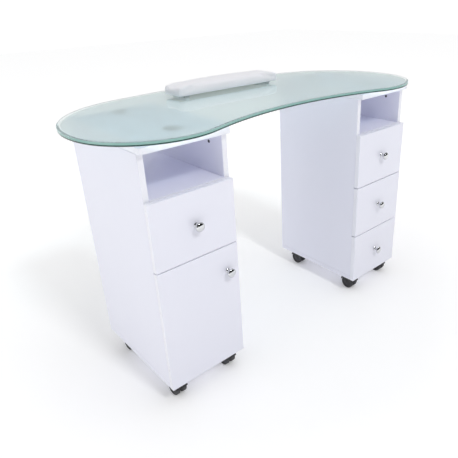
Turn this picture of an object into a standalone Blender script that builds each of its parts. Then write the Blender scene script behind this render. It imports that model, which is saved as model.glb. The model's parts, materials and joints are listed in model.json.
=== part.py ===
"""Manicure table: a kidney-shaped glass top on two wheeled cabinets, with a padded armrest.

Metres, +Z up. X runs along the table, the drawers face -Y, and the client sits at +Y.
The origin is on the floor, under the middle of the glass.
"""

import math

import bmesh
import bpy
from mathutils import Matrix, Vector

# Driving dimensions
GLASS_LENGTH = 1.190
GLASS_WAIST = 0.480            # from the middle of the hollow front edge to the rear edge
GLASS_THICKNESS = 0.010
REAR_RADIUS = 2.050            # long rear edge
END_RADIUS = 0.305             # rear corners and ends
LOBE_RADIUS = 0.200            # the two front lobes
HOLLOW_RADIUS = 0.920          # hollow front edge
PAD_RADIUS = 0.021
PAD_HEIGHT = 0.005
PAD_FRONT_Y = 0.045            # pads, behind the carcass front
PAD_REAR_Y = 0.320

CABINET_WIDTH = 0.248
CABINET_DEPTH = 0.360          # carcass only, without the fronts
CABINET_HEIGHT = 0.681
CABINET_SPACING = 0.526        # clear knee space between the two cabinets
CARCASS_FRONT = -0.218         # Y of the front edges of the side panels
BOARD = 0.016
BACK_THICKNESS = 0.008
BACK_INSET = 0.010
SHELF_TOP = 0.551              # above the underside of the cabinet
FRONTS_TOP = 0.5485            # top edge of the uppermost drawer front
FRONT_GAP = 0.003              # between two fronts, one above the other
EDGE_ROUND = 0.0008

CASTER_HEIGHT = 0.055
CASTER_INSET_X = 0.036         # swivel axis to the side of the cabinet
CASTER_FRONT_Y = 0.045         # swivel axes, behind the carcass front
CASTER_REAR_Y = 0.312
CASTER_TRAIL = 0.017
WHEEL_RADIUS = 0.024
WHEEL_WIDTH = 0.013
WHEEL_ROUND = 0.003
WHEEL_GAP = 0.0096             # between the two wheels of a caster
HOOD_WIDTH = 0.037
HOOD_WEB = 0.008
HOOD_WALL = 0.0025
HOOD_CLEARANCE = 0.002
HUB_RADIUS = 0.009
BOSS_RADIUS = 0.010
STEM_RADIUS = 0.005
AXLE_RADIUS = 0.003

DRAWER_SIDE_SPACE = 0.0125     # room for a runner on each side of a drawer box
DRAWER_LENGTH = 0.290
DRAWER_HEIGHT = 0.118
DRAWER_WALL = 0.012
DRAWER_FLOOR = 0.006
DRAWER_LIFT = 0.020            # underside of a box above the lower edge of its front
RUNNER_HEIGHT = 0.022
RUNNER_SHEET = 0.0015
RUNNER_LENGTH = 0.280
RUNNER_SETBACK = 0.004         # front end of a runner behind the carcass front
RAIL_PLAY = 0.002              # guide rail to the web of its runner

KNOB_RADIUS = 0.013
KNOB_LENGTH = 0.024
DOOR_KNOB_SIDE = 0.038         # knob axis to the free edge of the door
DOOR_KNOB_DROP = 0.075         # knob axis below the top edge of the door
HINGE_CUP_RADIUS = 0.0175
HINGE_CUP_DEPTH = 0.0115
HINGE_CUP_WALL = 0.0015
HINGE_CUP_EDGE = 0.005         # rim of the cup to the hinged edge of the door
HINGE_END_OFFSET = 0.070       # hinge centre to the end of the door
HINGE_ARM_LENGTH = 0.065
HINGE_ARM_HEIGHT = 0.012       # how far the arm stands off the side panel
HINGE_ARM_WIDTH = 0.016
HINGE_PLATE = 0.0025

ARMREST_LENGTH = 0.404
ARMREST_END_DEPTH = 0.089
ARMREST_BOW = 0.031            # how far the rear arc stands out behind the cut ends
ARMREST_THICKNESS = 0.030
ARMREST_FRONT = 0.080          # Y of its straight front edge
ARMREST_BOARD = 0.008
ARMREST_RIM = 0.014
FOOT_HEIGHT = 0.008
FOOT_WIDTH = 0.016
FOOT_LENGTH = 0.069
FOOT_SPREAD = 0.165

CLEARANCE = 0.0003             # between pieces that touch
TRAVEL = 0.0006                # between pieces that slide or turn
OVERCUT = 0.002                # how far a cutter stands out of what it cuts
STEPS = 20

# Heights above the floor
CABINET_BOTTOM = CASTER_HEIGHT
CABINET_TOP = CABINET_BOTTOM + CABINET_HEIGHT
GLASS_BOTTOM = CABINET_TOP + PAD_HEIGHT
GLASS_TOP = GLASS_BOTTOM + GLASS_THICKNESS
TOP_UNDERSIDE = CABINET_TOP - BOARD
FLOOR_OF_CARCASS = CABINET_BOTTOM + BOARD
CARCASS_REAR = CARCASS_FRONT + CABINET_DEPTH
FRONT_FACE = CARCASS_FRONT - BOARD
BACK_FACE = CARCASS_REAR - BACK_INSET - BACK_THICKNESS
FRONT_PITCH = (FRONTS_TOP + FRONT_GAP) / 3

for old in list(bpy.data.objects):
    bpy.data.objects.remove(old, do_unlink=True)


def material(name, colour, roughness, metallic=0.0, transmission=0.0):
    """A Principled BSDF material, made once per name."""
    made = bpy.data.materials.get(name)
    if made is None:
        made = bpy.data.materials.new(name)
        made.use_nodes = True
        shader = made.node_tree.nodes["Principled BSDF"]
        shader.inputs["Base Color"].default_value = (*colour, 1.0)
        shader.inputs["Roughness"].default_value = roughness
        shader.inputs["Metallic"].default_value = metallic
        shader.inputs["Transmission Weight"].default_value = transmission
    return made


def laminate():
    return material("white_laminate", (0.78, 0.79, 0.84), 0.35)


def glass():
    return material("frosted_glass", (0.55, 0.68, 0.66), 0.25, transmission=0.5)


def vinyl():
    return material("white_vinyl", (0.84, 0.84, 0.88), 0.45)


def chrome():
    return material("chrome", (0.75, 0.76, 0.78), 0.12, metallic=1.0)


def zinc():
    return material("zinc_plated_steel", (0.62, 0.63, 0.65), 0.35, metallic=1.0)


def enamel():
    return material("white_enamelled_steel", (0.80, 0.80, 0.80), 0.40)


def black_nylon():
    return material("black_nylon", (0.02, 0.02, 0.022), 0.45)


def rubber():
    return material("grey_rubber", (0.18, 0.18, 0.19), 0.70)


def fibreboard():
    return material("fibreboard", (0.42, 0.33, 0.24), 0.80)


def add_object(name, mesh_data, finish):
    """Link a bmesh as a named object with one material."""
    bmesh.ops.recalc_face_normals(mesh_data, faces=mesh_data.faces[:])
    mesh = bpy.data.meshes.new(name)
    mesh_data.to_mesh(mesh)
    mesh_data.free()
    mesh.materials.append(finish)
    obj = bpy.data.objects.new(name, mesh)
    bpy.context.scene.collection.objects.link(obj)
    return obj


def smooth(obj, degrees=35):
    obj.data.shade_smooth()
    obj.data.set_sharp_from_angle(angle=math.radians(degrees))
    return obj


def set_origin(obj, point):
    """Move the object's origin to a point, leaving its shape where it is."""
    obj.data.transform(Matrix.Translation(obj.location - Vector(point)))
    obj.location = point
    return obj


def attach(child, parent):
    """Parent a piece to the one it moves with, leaving it where it is."""
    bpy.context.view_layer.update()
    child.parent = parent
    child.matrix_parent_inverse = parent.matrix_world.inverted()
    return child


def bevel(obj, width):
    """Break the edges that are sharper than 40 degrees."""
    modifier = obj.modifiers.new("bevel", "BEVEL")
    modifier.width = width
    modifier.segments = 1
    modifier.limit_method = "ANGLE"
    modifier.angle_limit = math.radians(40)
    return obj


def cut(obj, cutter):
    """Subtract a closed mesh object with an exact Boolean."""
    cutter.hide_render = True
    cutter.display_type = "WIRE"
    modifier = obj.modifiers.new("cut", "BOOLEAN")
    modifier.operation = "DIFFERENCE"
    modifier.solver = "EXACT"
    modifier.object = cutter
    return obj


def unite(obj, other):
    """Join another closed mesh object to this one with an exact Boolean."""
    other.hide_render = True
    other.display_type = "WIRE"
    modifier = obj.modifiers.new("unite", "BOOLEAN")
    modifier.operation = "UNION"
    modifier.solver = "EXACT"
    modifier.object = other
    return obj


def box_mesh(low, high):
    low = Vector(low)
    high = Vector(high)
    mesh_data = bmesh.new()
    bmesh.ops.create_cube(mesh_data, size=1.0)
    bmesh.ops.scale(mesh_data, vec=high - low, verts=mesh_data.verts[:])
    bmesh.ops.translate(mesh_data, vec=(low + high) / 2, verts=mesh_data.verts[:])
    return mesh_data


def board(name, low, high, finish=None):
    """A flat panel with lightly broken edges."""
    return bevel(add_object(name, box_mesh(low, high), finish or laminate()), EDGE_ROUND)


def prism_mesh(outline, low, high):
    """A closed prism over an outline of (x, y) points, from height low to height high."""
    mesh_data = bmesh.new()
    base = mesh_data.faces.new([mesh_data.verts.new((x, y, low)) for x, y in outline])
    top = bmesh.ops.extrude_face_region(mesh_data, geom=[base])["geom"]
    raised = [item for item in top if isinstance(item, bmesh.types.BMVert)]
    bmesh.ops.translate(mesh_data, vec=(0, 0, high - low), verts=raised)
    return mesh_data


def profile_x_mesh(outline, low, high):
    """A closed prism over an outline of (y, z) points, from X low to X high."""
    mesh_data = prism_mesh(outline, low, high)
    turn = Matrix(((0, 0, 1, 0), (1, 0, 0, 0), (0, 1, 0, 0), (0, 0, 0, 1)))
    bmesh.ops.transform(mesh_data, matrix=turn, verts=mesh_data.verts[:])
    return mesh_data


def profile_y_mesh(outline, low, high):
    """A closed prism over an outline of (x, z) points, from Y low to Y high."""
    mesh_data = prism_mesh(outline, -high, -low)
    turn = Matrix.Rotation(math.radians(90), 4, "X")
    bmesh.ops.transform(mesh_data, matrix=turn, verts=mesh_data.verts[:])
    return mesh_data


def cylinder_mesh(centre, radius, low, high, steps=STEPS):
    """An upright cylinder about (x, y)."""
    mesh_data = bmesh.new()
    place = Matrix.Translation((centre[0], centre[1], (low + high) / 2))
    bmesh.ops.create_cone(mesh_data, cap_ends=True, segments=steps, radius1=radius,
                          radius2=radius, depth=high - low, matrix=place)
    return mesh_data


def turned_y_mesh(centre, radius, low, high, steps=STEPS):
    """A cylinder along Y about (x, z)."""
    mesh_data = cylinder_mesh((0.0, 0.0), radius, -high, -low, steps)
    turn = Matrix.Translation((centre[0], 0.0, centre[1])) @ Matrix.Rotation(math.radians(90), 4, "X")
    bmesh.ops.transform(mesh_data, matrix=turn, verts=mesh_data.verts[:])
    return mesh_data


def arc(centre, radius, start, end, steps):
    """Points on a circle from one angle to another, both ends included."""
    points = []
    for step in range(steps + 1):
        angle = start + (end - start) * step / steps
        points.append((centre[0] + radius * math.cos(angle), centre[1] + radius * math.sin(angle)))
    return points


def circle(radius):
    """STEPS points round the origin, the first one not repeated."""
    return arc((0.0, 0.0), radius, 0.0, 2 * math.pi * (STEPS - 1) / STEPS, STEPS - 1)


def bridge(mesh_data, rings):
    """Skin a row of rings that have STEPS vertices each."""
    for first, second in zip(rings, rings[1:]):
        for step in range(STEPS):
            after = (step + 1) % STEPS
            mesh_data.faces.new((first[step], first[after], second[after], second[step]))


def direction(start, end):
    return math.atan2(end[1] - start[1], end[0] - start[0])


def kidney_outline():
    """The glass outline: four tangent arcs, mirrored about X = 0 and centred on Y = 0."""
    rear = (0.0, -REAR_RADIUS)
    hollow = (0.0, -GLASS_WAIST - HOLLOW_RADIUS)
    end_x = GLASS_LENGTH / 2 - END_RADIUS
    end = (end_x, rear[1] + math.sqrt((REAR_RADIUS - END_RADIUS) ** 2 - end_x ** 2))
    # The lobe's centre is where two circles about its neighbours' centres cross.
    reach_end = END_RADIUS - LOBE_RADIUS
    reach_hollow = HOLLOW_RADIUS + LOBE_RADIUS
    span = math.dist(end, hollow)
    along = (reach_end ** 2 - reach_hollow ** 2 + span ** 2) / (2 * span)
    across = math.sqrt(reach_end ** 2 - along ** 2)
    unit = ((hollow[0] - end[0]) / span, (hollow[1] - end[1]) / span)
    lobe = (end[0] + along * unit[0] - across * unit[1], end[1] + along * unit[1] + across * unit[0])
    half = arc(rear, REAR_RADIUS, math.pi / 2, direction(rear, end), 8)
    half += arc(end, END_RADIUS, direction(rear, end), 0.0, 10)[1:]
    half += arc(end, END_RADIUS, 0.0, direction(end, lobe), 2)[1:]
    half += arc(lobe, LOBE_RADIUS, direction(end, lobe), direction(hollow, lobe) - math.pi, 14)[1:]
    half += arc(hollow, HOLLOW_RADIUS, direction(hollow, lobe), math.pi / 2, 8)[1:]
    middle = (lobe[1] - LOBE_RADIUS) / 2
    half = [(x, y - middle) for x, y in half]
    return half + [(-x, y) for x, y in half[-2:0:-1]]


def armrest_outline(inset=0.0):
    """A D shape: a straight front edge, two cut ends and a bowed rear edge."""
    half = ARMREST_LENGTH / 2
    radius = (half ** 2 + ARMREST_BOW ** 2) / (2 * ARMREST_BOW)
    centre = (0.0, ARMREST_FRONT + ARMREST_END_DEPTH + ARMREST_BOW - radius)
    edge = half - inset
    radius -= inset
    start = math.acos(edge / radius)
    points = [(-edge, ARMREST_FRONT + inset), (edge, ARMREST_FRONT + inset)]
    return points + arc(centre, radius, start, math.pi - start, 16)


def cabinet_side(x_low, inner):
    """The two X limits of a cabinet, and of its inside when inner is set."""
    shrink = BOARD if inner else 0.0
    return x_low + shrink, x_low + CABINET_WIDTH - shrink


def caster_places(x_low):
    """The swivel axes of the four casters of one cabinet, with their names."""
    rows = (("front", CARCASS_FRONT + CASTER_FRONT_Y), ("rear", CARCASS_FRONT + CASTER_REAR_Y))
    columns = (("left", x_low + CASTER_INSET_X), ("right", x_low + CABINET_WIDTH - CASTER_INSET_X))
    return [(f"{row}_{column}", (x, y)) for row, y in rows for column, x in columns]


def make_glass_top(cabinet_centres):
    """The glass, with the four pads that are bonded under it where it stands on the cabinets."""
    obj = add_object("glass_top", prism_mesh(kidney_outline(), GLASS_BOTTOM, GLASS_TOP), glass())
    for x in cabinet_centres:
        for y in (CARCASS_FRONT + PAD_FRONT_Y, CARCASS_FRONT + PAD_REAR_Y):
            inside_glass = GLASS_BOTTOM + GLASS_THICKNESS / 2
            shape = cylinder_mesh((x, y), PAD_RADIUS, CABINET_TOP + CLEARANCE, inside_glass)
            unite(obj, add_object("pad_shape", shape, glass()))
    return smooth(obj)


def make_armrest():
    """The padded armrest on its board and two rubber bars, which only stand on the glass."""
    low = GLASS_TOP + FOOT_HEIGHT + CLEARANCE
    body = prism_mesh(armrest_outline(), low, low + ARMREST_THICKNESS)
    cushion = add_object("armrest_cushion", body, vinyl())
    recess = prism_mesh(armrest_outline(ARMREST_RIM), low - OVERCUT, low + ARMREST_BOARD)
    cut(cushion, add_object("armrest_recess", recess, vinyl()))
    set_origin(cushion, (0, ARMREST_FRONT, low))
    inner = armrest_outline(ARMREST_RIM + CLEARANCE)
    plate = prism_mesh(inner, low, low + ARMREST_BOARD - CLEARANCE)
    attach(add_object("armrest_board", plate, fibreboard()), cushion)
    front = ARMREST_FRONT + ARMREST_RIM + CLEARANCE
    for name, x in (("left", -FOOT_SPREAD), ("right", FOOT_SPREAD)):
        near = (x - FOOT_WIDTH / 2, front, GLASS_TOP + CLEARANCE)
        far = (x + FOOT_WIDTH / 2, front + FOOT_LENGTH, low - CLEARANCE)
        attach(board(f"armrest_foot_{name}", near, far, rubber()), cushion)
    return cushion


def make_carcass(side, x_low, with_divider):
    """The fixed panels of one cabinet."""
    outer_low, outer_high = cabinet_side(x_low, inner=False)
    inner_low, inner_high = cabinet_side(x_low, inner=True)
    side_low = FLOOR_OF_CARCASS + CLEARANCE
    side_high = TOP_UNDERSIDE - CLEARANCE
    names = ("outer_side", "inner_side") if x_low < 0 else ("inner_side", "outer_side")
    for name, low, high in zip(names, (outer_low, inner_high), (inner_low, outer_high)):
        board(f"{side}_{name}", (low, CARCASS_FRONT, side_low), (high, CARCASS_REAR, side_high))
    top_high = (outer_high, CARCASS_REAR, CABINET_TOP)
    board(f"{side}_top_board", (outer_low, FRONT_FACE, TOP_UNDERSIDE), top_high)
    bottom = board(f"{side}_bottom_board", (outer_low, CARCASS_FRONT, CABINET_BOTTOM),
                   (outer_high, CARCASS_REAR, FLOOR_OF_CARCASS))
    for name, place in caster_places(x_low):
        ends = (CABINET_BOTTOM - OVERCUT, FLOOR_OF_CARCASS + OVERCUT)
        hole = cylinder_mesh(place, STEM_RADIUS + TRAVEL, *ends, 16)
        cut(bottom, add_object(f"{side}_{name}_socket", hole, laminate()))
    low_x = inner_low + CLEARANCE
    high_x = inner_high - CLEARANCE
    shelf_top = CABINET_BOTTOM + SHELF_TOP
    shelf_underside = shelf_top - BOARD
    board(f"{side}_shelf", (low_x, CARCASS_FRONT, shelf_underside), (high_x, CARCASS_REAR, shelf_top))
    # The back closes the cabinet below the shelf only: the cubby above it is open at both ends.
    back_high = (high_x, BACK_FACE + BACK_THICKNESS, shelf_underside - CLEARANCE)
    board(f"{side}_back_panel", (low_x, BACK_FACE, side_low), back_high)
    if with_divider:
        middle = CABINET_BOTTOM + 2 * FRONT_PITCH - FRONT_GAP / 2
        low = (low_x, CARCASS_FRONT, middle - BOARD / 2)
        board(f"{side}_divider", low, (high_x, BACK_FACE - CLEARANCE, middle + BOARD / 2))


def knob_profile():
    """Radius and distance from the front face, from the foot of the knob to its crown."""
    r = KNOB_RADIUS
    length = KNOB_LENGTH
    stem = [(0.50 * r, 0.0), (0.50 * r, 0.08 * length), (0.34 * r, 0.16 * length), (0.34 * r, 0.46 * length)]
    head = [(0.78 * r, 0.56 * length), (r, 0.68 * length), (0.94 * r, 0.84 * length), (0.60 * r, 0.96 * length)]
    return stem + head


def make_knob(name, place):
    """A turned mushroom knob that stands out of a front towards -Y."""
    mesh_data = bmesh.new()
    rings = []
    for radius, reach in knob_profile():
        rings.append([mesh_data.verts.new((x, -reach, z)) for x, z in circle(radius)])
    bridge(mesh_data, rings)
    mesh_data.faces.new(rings[0])
    crown = mesh_data.verts.new((0.0, -KNOB_LENGTH, 0.0))
    for step in range(STEPS):
        mesh_data.faces.new((rings[-1][step], rings[-1][(step + 1) % STEPS], crown))
    knob = smooth(add_object(name, mesh_data, chrome()))
    knob.location = (place[0], FRONT_FACE - CLEARANCE, place[1])
    return knob


def make_front(name, x_low, low, high):
    """A full overlay front, as wide as the cabinet."""
    x_high = x_low + CABINET_WIDTH
    face = board(name, (x_low, FRONT_FACE, low), (x_high, CARCASS_FRONT - TRAVEL, high))
    return set_origin(face, ((x_low + x_high) / 2, FRONT_FACE, (low + high) / 2))


def make_drawer(name, x_low, level):
    """One drawer at a level counted from the bottom: its front, box, knob and two runners."""
    low = CABINET_BOTTOM + level * FRONT_PITCH
    high = low + FRONT_PITCH - FRONT_GAP
    face = make_front(f"{name}_front", x_low, low, high)
    inner_low, inner_high = cabinet_side(x_low, inner=True)
    box_low = (inner_low + DRAWER_SIDE_SPACE, CARCASS_FRONT - TRAVEL + CLEARANCE, low + DRAWER_LIFT)
    box_high = (inner_high - DRAWER_SIDE_SPACE, box_low[1] + DRAWER_LENGTH, box_low[2] + DRAWER_HEIGHT)
    # The cross-section carries a guide rail on each side, and the hollow is cut out of it.
    rail_low = box_low[2] + RUNNER_SHEET + TRAVEL
    rail_high = box_low[2] + RUNNER_HEIGHT - RUNNER_SHEET - TRAVEL
    rail = DRAWER_SIDE_SPACE - RUNNER_SHEET - RAIL_PLAY
    right, left = box_high[0], box_low[0]
    section = [(left, box_low[2]), (right, box_low[2]), (right, rail_low), (right + rail, rail_low),
               (right + rail, rail_high), (right, rail_high), (right, box_high[2]), (left, box_high[2]),
               (left, rail_high), (left - rail, rail_high), (left - rail, rail_low), (left, rail_low)]
    body = add_object(f"{name}_box", profile_y_mesh(section, box_low[1], box_high[1]), laminate())
    hollow = box_mesh((box_low[0] + DRAWER_WALL, box_low[1] + DRAWER_WALL, box_low[2] + DRAWER_FLOOR),
                      (box_high[0] - DRAWER_WALL, box_high[1] - DRAWER_WALL, box_high[2] + OVERCUT))
    cut(body, add_object(f"{name}_hollow", hollow, laminate()))
    attach(body, face)
    attach(make_knob(f"{name}_knob", ((inner_low + inner_high) / 2, (low + high) / 2)), face)
    for side, edge, sense in (("left", inner_low, 1), ("right", inner_high, -1)):
        make_runner(f"{name}_runner_{side}", edge, sense, box_low[2])


def make_runner(name, edge, sense, low):
    """A C-shaped steel channel on a side panel, open towards the drawer."""
    wall = edge + sense * CLEARANCE
    lip = edge + sense * (DRAWER_SIDE_SPACE - TRAVEL)
    web = wall + sense * RUNNER_SHEET
    high = low + RUNNER_HEIGHT
    section = [(wall, low), (lip, low), (lip, low + RUNNER_SHEET), (web, low + RUNNER_SHEET),
               (web, high - RUNNER_SHEET), (lip, high - RUNNER_SHEET), (lip, high), (wall, high)]
    front = CARCASS_FRONT + RUNNER_SETBACK
    add_object(name, profile_y_mesh(section, front, front + RUNNER_LENGTH), enamel())


def make_door(x_low):
    """The cupboard door, hung on two cup hinges on the outer side of the left cabinet."""
    high = CABINET_BOTTOM + 2 * FRONT_PITCH - FRONT_GAP
    door = make_front("door_panel", x_low, CABINET_BOTTOM, high)
    inner_face = CARCASS_FRONT - TRAVEL
    cup_x = x_low + HINGE_CUP_EDGE + HINGE_CUP_RADIUS
    cups = []
    for name, z in (("lower", CABINET_BOTTOM + HINGE_END_OFFSET), ("upper", high - HINGE_END_OFFSET)):
        bore_floor = inner_face - HINGE_CUP_DEPTH
        bore = turned_y_mesh((cup_x, z), HINGE_CUP_RADIUS + CLEARANCE, bore_floor, inner_face + OVERCUT)
        cut(door, add_object(f"door_{name}_bore", bore, laminate()))
        cups.append(make_hinge_cup(f"door_hinge_cup_{name}", cup_x, z, inner_face))
        make_hinge_arm(f"door_hinge_arm_{name}", x_low, z)
    knob_x = x_low + CABINET_WIDTH - DOOR_KNOB_SIDE
    knob = make_knob("door_knob", (knob_x, high - DOOR_KNOB_DROP))
    set_origin(door, (x_low, CARCASS_FRONT, CABINET_BOTTOM))
    for piece in (*cups, knob):
        attach(piece, door)


def make_hinge_cup(name, x, z, inner_face):
    """A pressed steel cup, open towards the cabinet."""
    low = inner_face - HINGE_CUP_DEPTH + CLEARANCE
    cup = add_object(name, turned_y_mesh((x, z), HINGE_CUP_RADIUS, low, inner_face), zinc())
    hollow_radius = HINGE_CUP_RADIUS - HINGE_CUP_WALL
    hollow = turned_y_mesh((x, z), hollow_radius, low + HINGE_CUP_WALL, inner_face + OVERCUT)
    cut(cup, add_object(f"{name}_hollow", hollow, zinc()))
    return smooth(cup)


def make_hinge_arm(name, x_low, z):
    """The hinge arm on its plate, screwed to the inside of the outer side panel."""
    wall = x_low + BOARD + CLEARANCE
    front = CARCASS_FRONT + TRAVEL
    tip = wall + HINGE_ARM_HEIGHT
    heel = front + 0.3 * HINGE_ARM_LENGTH
    outline = [(wall, heel), (wall + HINGE_PLATE, heel), (tip - HINGE_PLATE, front), (tip, front),
               (tip, front + 0.88 * HINGE_ARM_LENGTH), (wall, front + HINGE_ARM_LENGTH)]
    arm = add_object(name, prism_mesh(outline, z - HINGE_ARM_WIDTH / 2, z + HINGE_ARM_WIDTH / 2), zinc())
    return bevel(arm, EDGE_ROUND)


def make_caster(name, place):
    """A twin-wheel swivel caster: its hood turns about the stem and its wheels about the axle."""
    x, y = place
    axle = (y - CASTER_TRAIL, WHEEL_RADIUS)
    hood = make_caster_hood(f"{name}_hood", x, y, axle)
    wheels = make_caster_wheels(f"{name}_wheels", x, axle)
    attach(wheels, hood)


def make_caster_hood(name, x, y, axle):
    """A round guard over both wheels, with a web between them, a swivel boss and a stem."""
    inner = WHEEL_RADIUS + HOOD_CLEARANCE
    outer = inner + HOOD_WALL
    start = math.radians(14)
    end = math.pi - start
    guard = arc(axle, outer, start, end, 10) + arc(axle, inner, end, start, 10)
    obj = add_object(name, profile_x_mesh(guard, x - HOOD_WIDTH / 2, x + HOOD_WIDTH / 2), black_nylon())
    middle = (inner + outer) / 2
    boss_low = axle[1] + WHEEL_RADIUS + TRAVEL
    web = arc(axle, middle, math.radians(-14), math.radians(190), 12)
    web += arc(axle, HUB_RADIUS, math.radians(225), math.radians(315), 4)
    near = axle[0] + HUB_RADIUS
    neck_high = boss_low + HOOD_WALL / 2
    neck = [(near, axle[1]), (y + STEM_RADIUS, axle[1] + BOSS_RADIUS),
            (y + 0.8 * BOSS_RADIUS, neck_high), (near, neck_high)]
    joined = [
        profile_x_mesh(web, x - HOOD_WEB / 2, x + HOOD_WEB / 2),
        profile_x_mesh(neck, x - 0.45 * HOOD_WEB, x + 0.45 * HOOD_WEB),
        cylinder_mesh((x, y), BOSS_RADIUS, boss_low, CABINET_BOTTOM - TRAVEL, 16),
        cylinder_mesh((x, y), STEM_RADIUS, boss_low + OVERCUT, FLOOR_OF_CARCASS - EDGE_ROUND, 12),
    ]
    for number, shape in enumerate(joined):
        unite(obj, add_object(f"{name}_shape_{number}", shape, black_nylon()))
    hole = [(axle[0] + a, axle[1] + b) for a, b in circle(AXLE_RADIUS + TRAVEL)]
    bore = profile_x_mesh(hole, x - HOOD_WEB, x + HOOD_WEB)
    cut(obj, add_object(f"{name}_axle_bore", bore, black_nylon()))
    smooth(obj)
    return set_origin(obj, (x, y, CABINET_BOTTOM))


def make_caster_wheels(name, x, axle):
    """Both wheels on their shared axle, as one turned body."""
    inner = WHEEL_GAP / 2
    outer = inner + WHEEL_WIDTH
    tread = WHEEL_RADIUS
    half = [(AXLE_RADIUS, inner), (tread, inner), (tread, outer - WHEEL_ROUND), (tread - WHEEL_ROUND, outer)]
    profile = [(radius, -reach) for radius, reach in reversed(half)] + half
    mesh_data = bmesh.new()
    rings = []
    for radius, reach in profile:
        rings.append([mesh_data.verts.new((reach, a, b)) for a, b in circle(radius)])
    bridge(mesh_data, rings)
    mesh_data.faces.new(rings[0])
    mesh_data.faces.new(rings[-1])
    wheels = smooth(add_object(name, mesh_data, black_nylon()))
    wheels.location = (x, *axle)
    return wheels


def main():
    left_low = -CABINET_SPACING / 2 - CABINET_WIDTH
    right_low = CABINET_SPACING / 2
    make_glass_top((left_low + CABINET_WIDTH / 2, right_low + CABINET_WIDTH / 2))
    make_armrest()
    make_carcass("left", left_low, with_divider=True)
    make_carcass("right", right_low, with_divider=False)
    make_drawer("left_drawer", left_low, 2)
    for level, name in enumerate(("bottom", "middle", "top")):
        make_drawer(f"right_{name}_drawer", right_low, level)
    make_door(left_low)
    for side, x_low in (("left", left_low), ("right", right_low)):
        for name, place in caster_places(x_low):
            make_caster(f"{side}_caster_{name}", place)


main()
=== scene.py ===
"""Looks of the manicure table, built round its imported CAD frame. Metres, +Z up."""

import json
import math

import bmesh
import bpy
import numpy as np
from mathutils import Matrix, Vector


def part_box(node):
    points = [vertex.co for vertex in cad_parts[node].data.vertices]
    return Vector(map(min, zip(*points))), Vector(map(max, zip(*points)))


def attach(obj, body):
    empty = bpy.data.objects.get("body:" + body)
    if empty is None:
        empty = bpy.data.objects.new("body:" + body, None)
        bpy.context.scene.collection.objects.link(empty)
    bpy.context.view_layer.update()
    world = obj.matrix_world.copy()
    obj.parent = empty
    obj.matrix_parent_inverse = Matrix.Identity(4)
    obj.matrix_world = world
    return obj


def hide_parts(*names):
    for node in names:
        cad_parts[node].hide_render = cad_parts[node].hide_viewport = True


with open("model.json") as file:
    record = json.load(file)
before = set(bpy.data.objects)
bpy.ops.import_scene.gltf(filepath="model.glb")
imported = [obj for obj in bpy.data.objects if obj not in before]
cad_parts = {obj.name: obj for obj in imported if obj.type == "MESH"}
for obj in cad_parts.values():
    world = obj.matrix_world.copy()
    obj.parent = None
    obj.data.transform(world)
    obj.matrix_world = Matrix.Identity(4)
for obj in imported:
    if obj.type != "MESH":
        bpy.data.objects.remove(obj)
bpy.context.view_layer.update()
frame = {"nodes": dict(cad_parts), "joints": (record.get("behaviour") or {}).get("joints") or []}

# Glass outline, as in the CAD model
GLASS_WAIST = 0.480
GLASS_THICKNESS = 0.010
REAR_RADIUS = 2.050
END_RADIUS = 0.305
LOBE_RADIUS = 0.200
HOLLOW_RADIUS = 0.920
GLASS_ARRIS = 0.0013  # ground corner along the glass edge
GLASS_BELLY = 0.0004  # how much the edge bows out in the middle of its height
GLASS_SHADED_FOOT = 0.0038  # lower part of the glass edge, painted nearly black as shade
EDGE_ARRIS_HIGHLIGHT = 0.3  # values stored on the edge's faces: upper ground corner, whitened as ground glass and partly as a painted highlight,
EDGE_GREEN = 0.6  # green band
EDGE_PAINTED_SHADE = 1.0  # and the foot, painted nearly black as shade
CLEAR_BORDER = 0.010  # unfrosted strip along the glass edge
PAD_RADIUS = 0.021
PAD_FRONT_Y = 0.045
PAD_REAR_Y = 0.320

# Armrest
ARMREST_BOW = 0.031  # how far its rear arc stands out behind the cut ends
ARMREST_CORNER = 0.007
ARMREST_BLUNT = 0.012  # its front corners are cut back this much further
ARMREST_SHOULDER = 0.0062  # rounding along the top edge before it swells
ARMREST_RIM = 0.014  # vinyl turned under round the board
BOARD_DEPTH = 0.008
STUFFING_INSET = 0.0028  # the cushion starts this much smaller and swells
STUFFING_VOXEL = 0.0042
MOST_SWELL = 0.0045
SWELL_FRAMES = 20

# Casters
HOOD_CLEARANCE = 0.002  # wheel to the inside of its guard
HOOD_WALL = 0.0025
HOOD_LIP = 0.0013  # how far the guard's rims turn in
HOOD_WEB = 0.008
HUB_RADIUS = 0.009
BOSS_RADIUS = 0.010
STEM_RADIUS = 0.005
PIN_RADIUS = 0.0029  # axle pin, which runs through the guard's web
WHEEL_GAP = 0.0096  # between the two wheels
WHEEL_WIDTH = 0.013
TREAD_DEPTH = 0.0045

# Drawers and door
DRAWER_WALL = 0.012
DRAWER_FLOOR = 0.006
DRAWER_FLOOR_BOARD = 0.003
SHEET = 0.0015  # runner steel
RAIL_REACH = 0.009  # how far a drawer's rail stands out from its side
RAIL_LIFT = 0.0021
RAIL_HEIGHT = 0.0178
SCREW_RADIUS = 0.0035
FRONT_SCREW_SIDE = 0.035  # screws that hold a drawer's front: in from each side of its box,
FRONT_SCREW_LIFT = 0.030  # up from its underside
FRONT_SCREW_DROP = 0.025  # and down from its top
BAND = 0.00015  # how far edge band stands proud
EDGE_ROUND = 0.0008
HINGE_CUP_WALL = 0.0015
HINGE_FLANGE = 0.0009
CAP_RADIUS = 0.0042
CAP_DROP = 0.030  # lock cap below the top board
CAP_FRONT_Y = 0.055  # lock caps, behind the carcass front
CAP_REAR_Y = 0.235

CLEARANCE = 0.0003
TRAVEL = 0.0006

ROUND = 2 * math.pi
SMOOTH_ANGLE = 32  # degrees; sharper edges stay hard

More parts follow.
